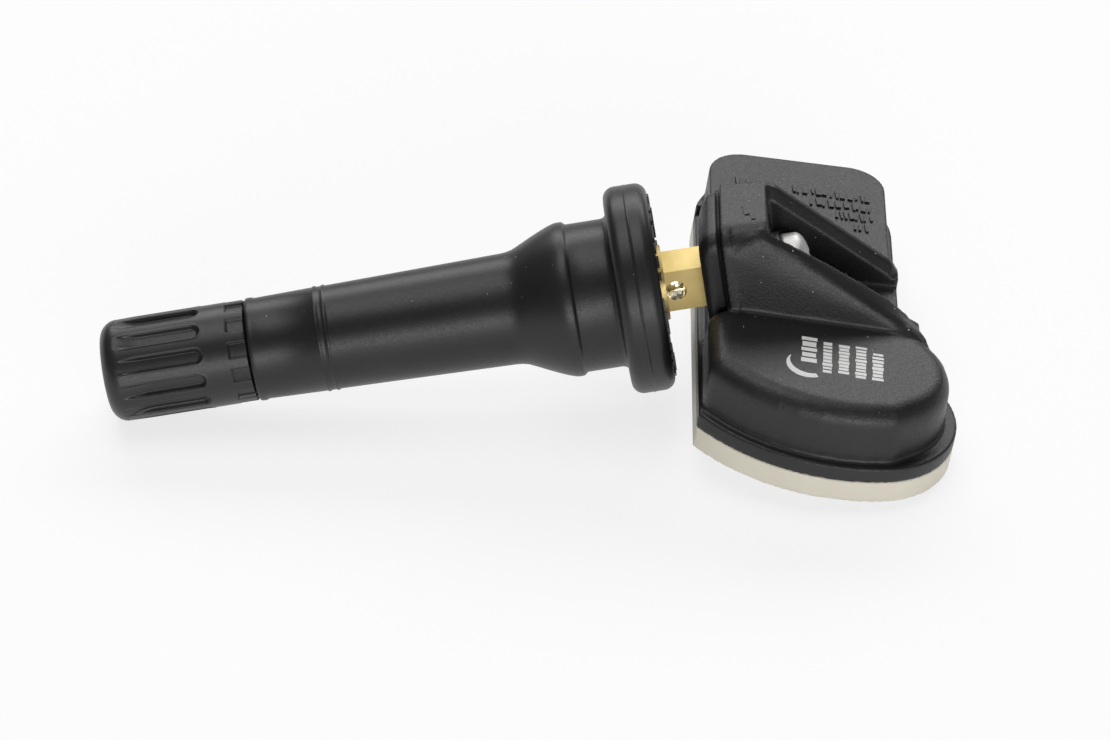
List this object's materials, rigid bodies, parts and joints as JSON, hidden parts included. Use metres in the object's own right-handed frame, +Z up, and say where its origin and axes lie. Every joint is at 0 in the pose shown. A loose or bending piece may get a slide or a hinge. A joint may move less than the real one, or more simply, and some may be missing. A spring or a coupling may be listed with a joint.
{
  "type": "tyre pressure sensor",
  "caption": "Snap-in tyre pressure sensor: a rubber tubeless valve with cap and valve core, screwed to a moulded housing that holds a coin cell and electronics.",
  "frame": {"origin": "on the valve's axis, in the plane where the rubber flange seats inside the rim", "axes": "+Z up as the sensor lies at rest, +X along the floor from the valve towards the sensor housing, +Y from the battery end towards the electronics end"},
  "size_m": [0.0817, 0.0456, 0.0221],
  "materials": {
    "cap_plastic": "fine satin black moulding",
    "valve_rubber": "smooth black rubber with a slight sheen",
    "seal_rubber": "black rubber",
    "seat_red": "red sealing compound",
    "valve_brass": "machined",
    "core_brass": "machined",
    "screw_steel": "zinc plated",
    "spring_steel": "drawn wire",
    "housing_plastic": "fine spark-eroded black moulding",
    "cover_plastic": "natural cream moulding",
    "board": "solder-masked laminate",
    "cell_steel": "nickel plated",
    "tab_steel": "nickel strip",
    "chip_black": "moulded package",
    "port_rubber": "soft silicone",
    "membrane": "porous film",
    "ferrite": "sintered ferrite",
    "copper_wire": "enamelled copper",
    "crystal_can": "lidded can",
    "capacitor_body": "ceramic chip",
    "resistor_body": "glazed chip"
  },
  "bodies": {
    "sensor": {"rubber_body": "valve_rubber", "valve_stem": "valve_brass", "core_housing": "core_brass", "core_barrel": "core_brass", "core_gasket": "seat_red", "core_spring": "spring_steel", "stem_screw": "screw_steel", "housing": "housing_plastic", "base_cover": "cover_plastic", "circuit_board": "board", "coin_cell": "cell_steel", "cell_tab_top": "tab_steel", "cell_tab_bottom": "tab_steel", "sensor_chip": "chip_black", "port_seal": "port_rubber", "filter_membrane": "membrane", "ferrite_rod": "ferrite", "coil_winding": "copper_wire", "radio_antenna": "core_brass", "crystal": "crystal_can", "capacitors": "capacitor_body", "resistors": "resistor_body"},
    "cap": {"valve_cap": "cap_plastic", "cap_seal": "seal_rubber"},
    "pin": {"core_pin": "core_brass", "core_cup": "core_brass", "cup_seal": "seal_rubber"}
  },
  "joints": [
    {"name": "cap_lift", "type": "slide", "parent": "sensor", "child": "cap", "axis": [-0.9872, -0.0673, -0.1444], "range_m": [0, 0.016]},
    {"name": "pin_press", "type": "slide", "parent": "sensor", "child": "pin", "axis": [0.9872, 0.0673, 0.1444], "range_m": [0, 0.0015], "stiffness_N_per_m": 300, "springref_m": -0.002, "deforming": ["core_spring"]}
  ]
}
